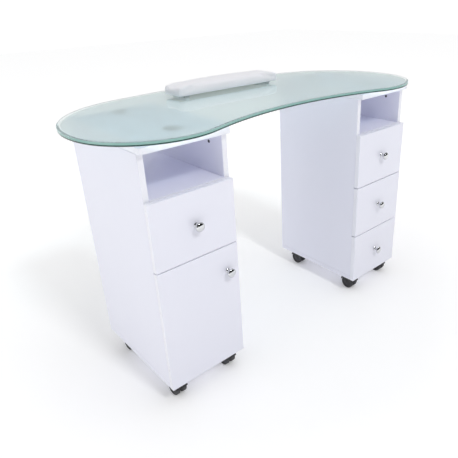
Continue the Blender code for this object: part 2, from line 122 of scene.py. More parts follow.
# Places for an extruded outline, named after where its axes 1, 2 and 3 point; the front is -Y
TO_YZX = Matrix(((0, 0, 1, 0), (1, 0, 0, 0), (0, 1, 0, 0), (0, 0, 0, 1)))
TO_XZ_FRONT = Matrix(((1, 0, 0, 0), (0, 0, -1, 0), (0, 1, 0, 0), (0, 0, 0, 1)))
TO_XZY = Matrix(((1, 0, 0, 0), (0, 0, 1, 0), (0, 1, 0, 0), (0, 0, 0, 1)))

SIDES = ("left", "right")
DRAWERS = ("left_drawer", "right_top_drawer", "right_middle_drawer", "right_bottom_drawer")
KNOBS = {f"{name}_knob": name for name in DRAWERS} | {"door_knob": "door"}
CASTERS = [f"{side}_caster_{row}_{column}" for side in SIDES for row in ("front", "rear") for column in SIDES]


# ---- materials

def map_range(tree, value, *limits):
    """A Map Range node. The limits are the range it reads, then the range it gives."""
    node = tree.nodes.new("ShaderNodeMapRange")
    for socket, number in zip(("From Min", "From Max", "To Min", "To Max"), limits):
        node.inputs[socket].default_value = number
    tree.links.new(value, node.inputs["Value"])
    return node


def choose(tree, ray, others, chosen):
    """A shader that is chosen for one kind of ray, and others for every other kind."""
    choice = tree.nodes.new("ShaderNodeMixShader")
    path = tree.nodes.new("ShaderNodeLightPath")
    tree.links.new(path.outputs[ray], choice.inputs["Fac"])
    tree.links.new(others, choice.inputs[1])
    tree.links.new(chosen, choice.inputs[2])
    return choice.outputs["Shader"]


class Finish:
    """A procedural material: one Principled shader and short calls for the nodes that drive it."""

    def __init__(self, name, **constants):
        self.material = bpy.data.materials.new(name)
        self.material.use_nodes = True
        self.nodes = self.material.node_tree.nodes
        self.links = self.material.node_tree.links
        self.shader = self.nodes["Principled BSDF"]
        self.output = self.nodes["Material Output"]
        for socket, value in constants.items():
            self.shader.inputs[socket.replace("_", " ")].default_value = value
        self.place = self.nodes.new("ShaderNodeTexCoord").outputs["Object"]

    def add(self, kind, **values):
        """A new node, some of its inputs set."""
        node = self.nodes.new("ShaderNode" + kind)
        for socket, value in values.items():
            node.inputs[socket].default_value = value
        return node

    def wrapped(self, node, stretch):
        """Lay a texture on the object, with a scale of its own along each axis if stretch says so."""
        place = self.place
        if stretch:
            mapping = self.add("Mapping", Scale=stretch)
            self.links.new(place, mapping.inputs["Vector"])
            place = mapping.outputs["Vector"]
        self.links.new(place, node.inputs["Vector"])
        return node

    def noise(self, scale, detail=3.0, roughness=0.5, stretch=None):
        node = self.add("TexNoise", Scale=scale, Detail=detail, Roughness=roughness)
        return self.wrapped(node, stretch).outputs["Fac"]

    def cells(self, scale, stretch):
        """Distance to the border between the cells of a leather-like pattern."""
        node = self.add("TexVoronoi", Scale=scale)
        node.feature = "DISTANCE_TO_EDGE"
        return self.wrapped(node, stretch).outputs["Distance"]

    def painted(self, name):
        """A value stored on the mesh."""
        node = self.add("Attribute")
        node.attribute_name = name
        return node.outputs["Fac"]

    def arithmetic(self, operation, first, second):
        node = self.add("Math")
        node.operation = operation
        self.links.new(first, node.inputs[0])
        self.links.new(second, node.inputs[1])
        return node.outputs["Value"]

    def ramp(self, value, low, high, to_low=0.0, to_high=1.0):
        """Map a value from one range to another, without going outside it."""
        return map_range(self.material.node_tree, value, low, high, to_low, to_high).outputs["Result"]

    def spread(self, noise, to_low=0.0, to_high=1.0):
        """Stretch the middle of a noise, where most of its values lie, over a range."""
        return self.ramp(noise, 0.3, 0.7, to_low, to_high)

    def mix(self, factor, first, second):
        """Blend two colours, each a tuple or another node's output."""
        node = self.add("Mix")
        node.data_type = "RGBA"
        self.links.new(factor, node.inputs["Factor"])
        for socket, colour in ((node.inputs[6], first), (node.inputs[7], second)):
            if isinstance(colour, tuple):
                socket.default_value = (*colour, 1.0)
            else:
                self.links.new(colour, socket)
        return node.outputs[2]

    def drive(self, socket, value):
        self.links.new(value, self.shader.inputs[socket])

    def colour(self, factor, first, second):
        self.drive("Base Color", self.mix(factor, first, second))

    def rough(self, noise, low, high):
        self.drive("Roughness", self.spread(noise, low, high))

    def bump(self, *layers):
        """Stack bumps, each a (height, strength, depth in metres)."""
        normal = None
        for height, strength, depth in layers:
            node = self.add("Bump", Strength=strength, Distance=depth)
            self.links.new(height, node.inputs["Height"])
            if normal is not None:
                self.links.new(normal, node.inputs["Normal"])
            normal = node.outputs["Normal"]
        self.drive("Normal", normal)

    def pass_lamps(self, tint):
        """Let lamps shine through: shadow rays meet a tinted transparent shader."""
        clear = self.add("BsdfTransparent", Color=(*tint, 1.0)).outputs["BSDF"]
        surface = choose(self.material.node_tree, "Is Shadow Ray", self.shader.outputs["BSDF"], clear)
        self.links.new(surface, self.output.inputs["Surface"])

    def absorb(self, colour, density):
        """Tint what passes through the thickness of the solid."""
        volume = self.add("VolumeAbsorption", Color=(*colour, 1.0), Density=density)
        self.links.new(volume.outputs["Volume"], self.output.inputs["Volume"])


def laminate_finish():
    """White melamine: a faint cloud in its colour, haze in its gloss and a fine pearl in its surface."""
    f = Finish("white_laminate")
    f.colour(f.spread(f.noise(3.2, 4.0)), (0.830, 0.838, 0.935), (0.845, 0.852, 0.942))
    f.rough(f.noise(38.0, 5.0, 0.6), 0.34, 0.46)
    f.bump((f.noise(900.0, 2.0), 0.10, 0.0002), (f.noise(160.0, 2.0), 0.06, 0.0004))
    return f.material


def glass_finish():
    """Tempered float glass, frosted from below inside a clear border; its edge runs from a ground arris,
    whitened partly as a painted highlight, through a green band to a foot painted nearly black as shade.
    """
    f = Finish("frosted_glass", IOR=1.5)
    etched = f.painted("frost")
    depth = f.painted("edge")
    # The edge values paint light: a highlight on the ground arris, and shade, nearly black, at the foot;
    # between them lies the green band
    arris_highlight = f.ramp(depth, 0.0, EDGE_ARRIS_HIGHLIGHT)
    body = f.ramp(depth, EDGE_ARRIS_HIGHLIGHT, EDGE_GREEN)
    foot = f.ramp(depth, EDGE_GREEN, EDGE_PAINTED_SHADE)
    grain = f.noise(1400.0, 2.0)
    clear = f.mix(etched, (0.985, 0.998, 1.0), (0.870, 0.915, 0.940))
    ground = f.mix(arris_highlight, clear, (0.780, 0.860, 0.880))
    green = f.mix(body, ground, (0.330, 0.570, 0.510))
    f.colour(foot, green, (0.012, 0.055, 0.045))
    haze = f.ramp(etched, 0.0, 1.0, 0.015, 0.19)
    f.drive("Roughness", f.arithmetic("ADD", haze, f.ramp(arris_highlight, 0.0, 1.0, 0.0, 0.10)))
    clearness = f.ramp(etched, 0.0, 1.0, 1.0, 0.62)
    # Transmission falls with the edge value, so the foot's painted shade is opaque
    f.drive("Transmission Weight", f.arithmetic("SUBTRACT", clearness, depth))
    f.bump((f.spread(grain), 0.02, 0.0001))
    f.pass_lamps((0.89, 0.94, 0.95))
    f.absorb((0.16, 0.72, 0.70), 8.0)
    return f.material


def vinyl_finish():
    """White upholstery vinyl with a fine leather grain."""
    f = Finish("white_vinyl", Specular_IOR_Level=0.45)
    f.colour(f.spread(f.noise(7.0, 4.0)), (0.905, 0.903, 0.948), (0.920, 0.917, 0.958))
    grain = f.cells(1150.0, (1.0, 0.8, 1.0))
    fine = f.noise(2600.0, 2.0)
    f.drive("Roughness", f.ramp(grain, 0.0, 0.35, 0.58, 0.44))
    f.bump((f.ramp(grain, 0.0, 0.25), 0.22, 0.00025), (fine, 0.08, 0.0001),
           (f.noise(55.0, 3.0), 0.10, 0.0012))
    return f.material


def fibreboard_finish():
    """Board with long fibres, in the underside of the armrest, painted paler than raw board: painted light
    that lifts the shade in the gap under the cushion.
    """
    f = Finish("fibreboard", Specular_IOR_Level=0.2)
    fibres = f.noise(420.0, 6.0, 0.7, stretch=(0.25, 1.0, 1.0))
    f.colour(f.ramp(fibres, 0.35, 0.65), (0.62, 0.56, 0.48), (0.74, 0.69, 0.61))
    f.rough(f.noise(90.0), 0.75, 0.92)
    f.bump((fibres, 0.35, 0.0003))
    return f.material


def fine_finish(name, patches, dark, light, haze, polished, rough, grain, strength, **constants):
    """A finish whose colour, gloss and relief each follow one fine noise."""
    f = Finish(name, **constants)
    f.colour(f.noise(*patches), dark, light)
    f.rough(f.noise(*haze), polished, rough)
    f.bump((f.noise(*grain), strength, 0.0002))
    return f.material


def metal_finish(name, dark, light, rough, polished, grain):
    """A metal whose colour and roughness wander with a grain, over fine wiping scratches."""
    f = Finish(name, Metallic=1.0)
    wander = f.noise(grain, 4.0, 0.6)
    f.colour(f.spread(wander), dark, light)
    f.rough(f.noise(grain * 3.0, 4.0, 0.6), polished, rough)
    f.bump((f.noise(2400.0, 2.0, stretch=(1.0, 0.1, 1.0)), 0.03, 0.0001))
    return f.material


def plastic_finish(name, dark, light, rough, polished):
    """Moulded plastic with a fine spark-eroded grain."""
    f = Finish(name, Specular_IOR_Level=0.45)
    f.colour(f.ramp(f.noise(70.0, 5.0), 0.35, 0.65), dark, light)
    f.rough(f.noise(420.0, 3.0), polished, rough)
    f.bump((f.noise(1800.0, 3.0), 0.18, 0.0002))
    return f.material


def floor_finish():
    """Plain pale floor with a painted glow, weaker near the table, where it lifts the shadows, and stronger
    far off, where it brightens into the white backdrop.
    """
    f = Finish("studio_floor", Specular_IOR_Level=0.1)
    f.colour(f.noise(2.0), (0.90, 0.90, 0.905), (0.91, 0.91, 0.915))
    f.rough(f.noise(5.0), 0.85, 0.95)
    away = f.add("VectorMath")
    away.operation = "LENGTH"
    f.links.new(f.place, away.inputs[0])
    f.drive("Emission Strength", f.ramp(away.outputs["Value"], *FLOOR_REACH, *FLOOR_GLOW))
    f.shader.inputs["Emission Color"].default_value = (1.0, 1.0, 1.0, 1.0)
    return f.material


LAMINATE = laminate_finish()
# Edge band is smoother than the faces, and its colour is a touch brighter: painted light that lifts the shade
# on the top boards' front edges under the glass
BAND_PLASTIC = fine_finish("edge_band", (60.0,), (0.860, 0.868, 0.935), (0.880, 0.886, 0.945),
                           (240.0, 3.0), 0.26, 0.36, (700.0, 2.0, 0.5, (1.0, 1.0, 0.15)), 0.10)
GLASS = glass_finish()
PAD = fine_finish("silicone_pad", (300.0,), (0.30, 0.34, 0.36), (0.40, 0.45, 0.47),
                  (500.0,), 0.25, 0.40, (900.0,), 0.1, IOR=1.42, Transmission_Weight=0.55)
VINYL = vinyl_finish()
FIBREBOARD = fibreboard_finish()
RUBBER = fine_finish("grey_rubber", (120.0, 4.0), (0.50, 0.515, 0.525), (0.60, 0.615, 0.625),
                     (300.0,), 0.60, 0.78, (1200.0, 3.0), 0.3, Specular_IOR_Level=0.35)
CHROME = metal_finish("chrome", (0.60, 0.61, 0.63), (0.68, 0.69, 0.71), 0.12, 0.05, 90.0)
ZINC = metal_finish("zinc_plate", (0.50, 0.51, 0.53), (0.66, 0.67, 0.68), 0.40, 0.26, 160.0)
ENAMEL = fine_finish("runner_enamel", (80.0,), (0.74, 0.74, 0.75), (0.80, 0.80, 0.80),
                     (200.0,), 0.32, 0.46, (1500.0, 2.0), 0.25)
NYLON = plastic_finish("black_nylon", (0.020, 0.020, 0.022), (0.030, 0.030, 0.033), 0.52, 0.36)
TREAD = plastic_finish("wheel_tread", (0.040, 0.041, 0.044), (0.060, 0.061, 0.065), 0.62, 0.46)
CAP = plastic_finish("lock_cap", (0.030, 0.028, 0.035), (0.048, 0.045, 0.055), 0.50, 0.35)
ROLLER = plastic_finish("roller_nylon", (0.62, 0.62, 0.60), (0.72, 0.72, 0.70), 0.48, 0.34)


# ---- mesh tools

def linked(name, data):
    """A new object in the scene."""
    obj = bpy.data.objects.new(name, data)
    bpy.context.scene.collection.objects.link(obj)
    return obj


def shade(mesh, angle):
    """Smooth shading that keeps edges sharper than an angle in degrees."""
    mesh.shade_smooth()
    mesh.set_sharp_from_angle(angle=math.radians(angle))
    return mesh


def finished_mesh(name, shape, finish, smooth=SMOOTH_ANGLE):
    """A bmesh as a shaded mesh of one material."""
    bmesh.ops.recalc_face_normals(shape, faces=shape.faces[:])
    mesh = bpy.data.meshes.new(name)
    shape.to_mesh(mesh)
    shape.free()
    mesh.materials.append(finish)
    return shade(mesh, smooth)


def piece(name, shape, finish, body, replaces=(), smooth=SMOOTH_ANGLE):
    """Link a bmesh as a named piece that rides on a CAD body."""
    return settle(linked(name, finished_mesh(name, shape, finish, smooth)), body, replaces)


def settle(obj, body, replaces=()):
    """Bind an object to its CAD body and the CAD nodes that it stands for."""
    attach(obj, body)
    if replaces:
        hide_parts(*replaces)
    return obj


def arc(centre, radius, start, end, steps):
    """Points on a circle from one angle to another, both ends included."""
    points = []
    for step in range(steps + 1):
        angle = start + (end - start) * step / steps
        points.append((centre[0] + radius * math.cos(angle), centre[1] + radius * math.sin(angle)))
    return points


def direction(start, end):
    """Angle of the way from one point to another."""
    return math.atan2(end[1] - start[1], end[0] - start[0])


def offset(outline, inset):
    """Move a counter-clockwise outline inwards by the same amount everywhere."""
    moved = []
    for before, here, after in zip(outline[-1:] + outline[:-1], outline, outline[1:] + outline[:1]):
        first = (Vector(here) - Vector(before)).normalized()
        second = (Vector(after) - Vector(here)).normalized()
        normal = Vector((-first.y - second.y, first.x + second.x)).normalized()
        reach = inset / max(0.5, normal.dot(Vector((-first.y, first.x))))
        moved.append((here[0] + normal.x * reach, here[1] + normal.y * reach))
    return moved


def skin(shape, rings):
    """Quads between neighbouring rings of equal length."""
    for first, second in zip(rings, rings[1:]):
        count = len(first)
        for step in range(count):
            after = (step + 1) % count
            shape.faces.new((first[step], first[after], second[after], second[step]))


def stacked(outline, levels):
    """A closed solid over an outline: (inset, height) for each level, capped at both ends."""
    shape = bmesh.new()
    rings = []
    for inset, height in levels:
        ring = offset(outline, inset) if inset else outline
        rings.append([shape.verts.new((x, y, height)) for x, y in ring])
    skin(shape, rings)
    shape.faces.new(rings[0])
    shape.faces.new(rings[-1])
    return shape


def turned(profile, place=Matrix(), steps=48, hollow=False):
    """A solid turned about the Z axis of place, from (radius, height) points. Radius 0 closes an end.
    A hollow one is a ring, whose profile closes on itself."""
    shape = bmesh.new()
    rings = []
    for radius, height in profile:
        if radius == 0.0:
            rings.append([shape.verts.new(place @ Vector((0.0, 0.0, height)))])
            continue
        ring = arc((0.0, 0.0), radius, 0.0, ROUND * (steps - 1) / steps, steps - 1)
        rings.append([shape.verts.new(place @ Vector((x, y, height))) for x, y in ring])
    for first, second in zip(rings, rings[1:]):
        if len(first) == 1 or len(second) == 1:
            tip, ring = (first[0], second) if len(first) == 1 else (second[0], first)
            for step in range(steps):
                shape.faces.new((ring[step], ring[(step + 1) % steps], tip))
        else:
            skin(shape, [first, second])
    if hollow:
        skin(shape, [rings[-1], rings[0]])
        return shape
    for end in (rings[0], rings[-1]):
        if len(end) > 1:
            shape.faces.new(end)
    return shape


def rounded_box(low, high, radius, segments=3):
    """A box with every edge rounded."""
    low = Vector(low)
    high = Vector(high)
    shape = bmesh.new()
    bmesh.ops.create_cube(shape, size=1.0)
    bmesh.ops.scale(shape, vec=high - low, verts=shape.verts[:])
    bmesh.ops.translate(shape, vec=(low + high) / 2, verts=shape.verts[:])
    edges = shape.edges[:]
    bmesh.ops.bevel(shape, geom=edges, offset=radius, segments=segments, affect="EDGES", profile=0.5)
    return shape


def extruded(outline, low, high, radius=0.0, place=Matrix(), segments=2):
    """A prism over an outline of (x, y) points, its cap edges rounded, moved by place."""
    levels = [(0.0, low), (0.0, high)]
    if radius:
        quarter = [math.pi / 2 * step / segments for step in range(segments + 1)]
        corner = [(radius * (1 - math.sin(a)), radius * (1 - math.cos(a))) for a in quarter]
        levels = [(inset, low + rise) for inset, rise in corner]
        levels += [(inset, high - rise) for inset, rise in reversed(corner)]
    shape = stacked(outline, levels)
    bmesh.ops.transform(shape, matrix=place, verts=shape.verts[:])
    return shape


def joined(*parts):
    """Several bmeshes as one."""
    whole = bmesh.new()
    for part in parts:
        mesh = bpy.data.meshes.new("part")
        part.to_mesh(mesh)
        part.free()
        whole.from_mesh(mesh)
        bpy.data.meshes.remove(mesh)
    return whole


def facing(point, axis):
    """A place whose Z axis runs along axis from point."""
    turn = Vector((0.0, 0.0, 1.0)).rotation_difference(Vector(axis)).to_matrix().to_4x4()
    return Matrix.Translation(Vector(point)) @ turn


# ---- glass

GLASS_LOW, GLASS_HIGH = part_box("glass_top")
GLASS_TOP = GLASS_HIGH.z
GLASS_BOTTOM = GLASS_TOP - GLASS_THICKNESS


def kidney_outline(fineness):
    """The glass outline: four tangent arcs, mirrored about X = 0 and centred on Y = 0."""
    rear = (0.0, -REAR_RADIUS)
    hollow = (0.0, -GLASS_WAIST - HOLLOW_RADIUS)
    end_x = GLASS_HIGH.x - END_RADIUS
    end = (end_x, rear[1] + math.sqrt((REAR_RADIUS - END_RADIUS) ** 2 - end_x ** 2))
    reach_end = END_RADIUS - LOBE_RADIUS
    reach_hollow = HOLLOW_RADIUS + LOBE_RADIUS
    span = math.dist(end, hollow)
    along = (reach_end ** 2 - reach_hollow ** 2 + span ** 2) / (2 * span)
    across = math.sqrt(reach_end ** 2 - along ** 2)
    unit = ((hollow[0] - end[0]) / span, (hollow[1] - end[1]) / span)
    lobe = (end[0] + along * unit[0] - across * unit[1], end[1] + along * unit[1] + across * unit[0])
    half = arc(rear, REAR_RADIUS, math.pi / 2, direction(rear, end), 3 * fineness)
    half += arc(end, END_RADIUS, direction(rear, end), direction(end, lobe), 4 * fineness)[1:]
    half += arc(lobe, LOBE_RADIUS, direction(end, lobe), direction(hollow, lobe) - math.pi, 5 * fineness)[1:]
    half += arc(hollow, HOLLOW_RADIUS, direction(hollow, lobe), math.pi / 2, 3 * fineness)[1:]
    middle = (lobe[1] - LOBE_RADIUS) / 2
    half = [(x, y - middle) for x, y in half]
    whole = half + [(-x, y) for x, y in half[-2:0:-1]]
    return whole[::-1]


def make_glass():
    """The sheet: polished edge with ground corners, and a frosted field under it. Its edge faces carry values
    for a painted highlight on the upper arris and painted shade on the foot.
    """
    outline = kidney_outline(12)
    corner = GLASS_ARRIS * 0.32
    levels = [
        (CLEAR_BORDER, GLASS_BOTTOM),
        (GLASS_ARRIS, GLASS_BOTTOM),
        (corner, GLASS_BOTTOM + corner),
        (GLASS_BELLY, GLASS_BOTTOM + GLASS_ARRIS),
        (GLASS_BELLY * 0.3, GLASS_BOTTOM + GLASS_SHADED_FOOT),
        (0.0, (GLASS_BOTTOM + GLASS_TOP) / 2),
        (GLASS_BELLY, GLASS_TOP - GLASS_ARRIS),
        (corner, GLASS_TOP - corner),
        (GLASS_ARRIS, GLASS_TOP),
        (CLEAR_BORDER, GLASS_TOP),
    ]
    sheet = piece("glass_sheet", stacked(outline, levels), GLASS, "root", ["glass_top"], smooth=50)
    frost = sheet.data.attributes.new("frost", "FLOAT", "FACE")
    edge = sheet.data.attributes.new("edge", "FLOAT", "FACE")
    for number, face in enumerate(sheet.data.polygons):
        height = face.center.z
        is_field = len(face.vertices) > 4
        frost.data[number].value = 1.0 if is_field and height < GLASS_BOTTOM + CLEARANCE else 0.0
        # Edge value: painted highlight on the upper arris, the green band, and painted shade on the foot
        depth = EDGE_PAINTED_SHADE
        if is_field or abs(face.normal.z) > 0.99:
            depth = 0.0
        elif height > GLASS_TOP - GLASS_ARRIS:
            depth = EDGE_ARRIS_HIGHLIGHT
        elif height > GLASS_BOTTOM + GLASS_SHADED_FOOT:
            depth = EDGE_GREEN
        edge.data[number].value = depth


def make_glass_pads():
    """Four silicone pads that carry the glass on the two cabinets."""
    low = GLASS_LOW.z
    high = GLASS_BOTTOM - CLEARANCE
    for side in SIDES:
        top_low, top_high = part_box(f"{side}_top_board")
        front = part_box(f"{side}_shelf")[0].y
        for row, y in (("front", front + PAD_FRONT_Y), ("rear", front + PAD_REAR_Y)):
            r = PAD_RADIUS
            profile = [(0.0, low), (r * 0.93, low), (r, low + 0.0008), (r, high - 0.0016),
                       (r * 0.95, high - 0.0004), (r * 0.86, high), (r * 0.80, high),
                       (r * 0.76, high - 0.0012), (r * 0.42, high - 0.0012), (r * 0.38, high), (0.0, high)]
            place = Matrix.Translation(((top_low.x + top_high.x) / 2, y, 0.0))
            piece(f"{side}_glass_pad_{row}", turned(profile, place), PAD, "root")


# ---- armrest

CUSHION_LOW, CUSHION_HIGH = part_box("armrest_cushion")


def eased(start, corner, end, steps=5):
    """Points on a smooth curve that rounds a corner off."""
    points = []
    for step in range(steps + 1):
        t = step / steps
        shares = ((1 - t) ** 2, 2 * t * (1 - t), t * t)
        points.append(tuple(sum(s * v for s, v in zip(shares, values)) for values in zip(start, corner, end)))
    return points


def armrest_outline(inset, steps=40):
    """A D shape: straight front, two cut ends and a bowed rear, its four corners rounded."""
    half = CUSHION_HIGH.x - inset
    front = CUSHION_LOW.y + inset
    full_half = CUSHION_HIGH.x
    full_radius = (full_half ** 2 + ARMREST_BOW ** 2) / (2 * ARMREST_BOW)
    centre = (0.0, CUSHION_HIGH.y - full_radius)
    radius = full_radius - inset
    soft = max(0.0015, ARMREST_CORNER - inset)
    start = math.acos(half / radius)
    trim = soft / radius
    rear = (half, centre[1] + radius * math.sin(start))
    bow = arc(centre, radius, start + trim, math.pi - start - trim, steps)
    blunt = soft + ARMREST_BLUNT
    right = eased((half - blunt, front), (half, front), (half, front + soft))
    right += eased((half, rear[1] - soft), rear, bow[0])
    left = [(-x, y) for x, y in reversed(right)]
    return right + bow[1:-1] + left


def evaluated_mesh(obj):
    """An object's mesh with its modifiers on."""
    graph = bpy.context.evaluated_depsgraph_get()
    return bpy.data.meshes.new_from_object(obj.evaluated_get(graph), depsgraph=graph)


def apply_modifiers(obj):
    """Turn an object's modifiers into its mesh."""
    mesh = evaluated_mesh(obj)
    obj.modifiers.clear()
    obj.data = mesh


def combine(obj, operation, other):
    """Add a Boolean with another object."""
    boolean = obj.modifiers.new("boolean", "BOOLEAN")
    boolean.operation = operation
    boolean.object = other


def cut_out(obj, cutter):
    """Cut one object out of another for good."""
    combine(obj, "DIFFERENCE", cutter)
    apply_modifiers(obj)
    bpy.data.objects.remove(cutter)


def united_mesh(name, parts, finish):
    """One closed mesh from overlapping closed ones."""
    first, *others = [linked("part", finished_mesh("part", part, finish)) for part in parts]
    for other in others:
        combine(first, "UNION", other)
    mesh = evaluated_mesh(first)
    mesh.name = name
    for obj in (first, *others):
        bpy.data.objects.remove(obj)
    return shade(mesh, SMOOTH_ANGLE)


def coordinates(mesh):
    """A mesh's points as rows."""
    flat = np.zeros(len(mesh.vertices) * 3, np.float32)
    mesh.vertices.foreach_get("co", flat)
    return flat.reshape(-1, 3)


def swell(obj, pinned_below):
    """Fill the cover by cloth pressure, hold its underside still, and cap how far it moves."""
    group = obj.vertex_groups.new(name="pinned")
    before = coordinates(obj.data)
    group.add([int(i) for i in np.nonzero(before[:, 2] < pinned_below)[0]], 1.0, "REPLACE")
    cloth = obj.modifiers.new("cover", "CLOTH")
    settings = cloth.settings
    settings.quality = 6
    settings.mass = 0.35
    settings.tension_stiffness = 30.0
    settings.compression_stiffness = 20.0
    settings.shear_stiffness = 12.0
    settings.bending_stiffness = 2.5
    settings.use_pressure = True
    settings.uniform_pressure_force = 4.0
    settings.effector_weights.gravity = 0.0
    settings.vertex_group_mass = group.name
    scene = bpy.context.scene
    for number in range(1, SWELL_FRAMES + 1):
        scene.frame_set(number)
    swollen = evaluated_mesh(obj)
    after = coordinates(swollen)
    obj.modifiers.remove(cloth)
    scene.frame_set(1)
    moved = after - before
    length = np.linalg.norm(moved, axis=1, keepdims=True)
    moved *= np.minimum(1.0, MOST_SWELL / np.maximum(length, 1e-9))
    obj.data.vertices.foreach_set("co", (before + moved).ravel())
    obj.data.update()
    bpy.data.meshes.remove(swollen)


def make_cushion():
    """Foam under stretched vinyl: swollen by simulation, then hollowed below for its board."""
    low = CUSHION_LOW.z
    high = CUSHION_HIGH.z - STUFFING_INSET
    outline = armrest_outline(STUFFING_INSET)
    levels = [(0.0022, low), (0.0006, low + 0.0012), (0.0, low + 0.003), (0.0, high - ARMREST_SHOULDER)]
    for step in range(1, 6):
        angle = math.pi / 2 * step / 5
        inset = ARMREST_SHOULDER * (1 - math.cos(angle))
        levels.append((inset, high - ARMREST_SHOULDER * (1 - math.sin(angle))))
    cushion = piece("armrest_pad", stacked(outline, levels), VINYL, "armrest", ["armrest_cushion"])
    remesh = cushion.modifiers.new("voxels", "REMESH")
    remesh.mode = "VOXEL"
    remesh.voxel_size = STUFFING_VOXEL
    apply_modifiers(cushion)
    swell(cushion, low + 0.004)
    finer = cushion.modifiers.new("finer", "SUBSURF")
    finer.levels = 1
    finer.render_levels = 1
    apply_modifiers(cushion)
    recess = stacked(armrest_outline(ARMREST_RIM), [(0.0, low - 0.004), (0.0, low + BOARD_DEPTH)])
    cut_out(cushion, linked("recess", finished_mesh("recess", recess, VINYL)))
    shade(cushion.data, 50)


def make_armrest_base():
    """The board in the underside of the cushion, and two rubber bars."""
    low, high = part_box("armrest_board")
    board = extruded(armrest_outline(ARMREST_RIM + CLEARANCE), low.z, high.z, 0.0008)
    piece("armrest_base", board, FIBREBOARD, "armrest", ["armrest_board"])
    for side in SIDES:
        foot_low, foot_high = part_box(f"armrest_foot_{side}")
        bar = rounded_box(foot_low, foot_high, 0.0018)
        piece(f"armrest_bar_{side}", bar, RUBBER, "armrest", [f"armrest_foot_{side}"])


# ---- knobs

def make_knob(node, body):
    """A turned mushroom knob: a flared foot, a waisted neck and a domed head."""
    low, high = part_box(node)
    centre = (low + high) / 2
    radius = (high.x - low.x) / 2
    length = high.y - low.y
    foot = [(0.0, 0.0), (0.54, 0.0), (0.56, 0.02), (0.56, 0.05), (0.53, 0.075), (0.45, 0.10)]
    neck = [(0.37, 0.16), (0.335, 0.24), (0.325, 0.32), (0.34, 0.40), (0.40, 0.47)]
    head = [(0.56, 0.535), (0.76, 0.575), (0.91, 0.620), (0.985, 0.672), (1.0, 0.720), (0.985, 0.775),
            (0.93, 0.835), (0.83, 0.888), (0.68, 0.935), (0.48, 0.970), (0.25, 0.992), (0.0, 1.0)]
    profile = [(radius * r, length * reach) for r, reach in foot + neck + head]
    place = facing((centre.x, high.y, centre.z), (0.0, -1.0, 0.0))
    piece(f"{node}_chrome", turned(profile, place, 64), CHROME, body, [node], smooth=40)


# ---- casters

def place_mesh(name, mesh, location, body, replaces=()):
    """A copy of a shared mesh, standing at a point and riding on a body."""
    obj = linked(name, mesh)
    obj.location = location
    return settle(obj, body, replaces)


def rounded_loop(low, high, corner, steps):
    """A rectangle with rounded corners, from (u, v) low to (u, v) high."""
    (u0, v0), (u1, v1) = low, high
    quarter = math.pi / 2
    points = arc((u1 - corner, v0 + corner), corner, -quarter, 0.0, steps)
    points += arc((u1 - corner, v1 - corner), corner, 0.0, quarter, steps)
    points += arc((u0 + corner, v1 - corner), corner, quarter, 2 * quarter, steps)
    return points + arc((u0 + corner, v0 + corner), corner, 2 * quarter, 3 * quarter, steps)


def swept_guard(axle, inner, outer, half_width):
    """The guard over both wheels: a shell with turned-in rims, bent round the axle."""
    lip = inner - HOOD_LIP
    skirt = HOOD_WALL * 0.55
    section = arc((-half_width + 0.0012, outer - 0.0012), 0.0012, math.pi, math.pi / 2, 3)
    section += arc((half_width - 0.0012, outer - 0.0012), 0.0012, math.pi / 2, 0.0, 3)
    section += [(half_width, lip), (half_width - skirt, lip), (half_width - skirt - 0.0006, inner),
                (-half_width + skirt + 0.0006, inner), (-half_width + skirt, lip), (-half_width, lip)]
    shape = bmesh.new()
    rings = []
    steps = 28
    start = math.radians(14)
    for step in range(steps + 1):
        angle = start + (math.pi - 2 * start) * step / steps
        ring = []
        for x, radius in section:
            y = axle[0] + radius * math.cos(angle)
            z = axle[1] + radius * math.sin(angle)
            ring.append(shape.verts.new((x, y, z)))
        rings.append(ring)
    skin(shape, rings)
    shape.faces.new(rings[0])
    shape.faces.new(rings[-1])
    return shape


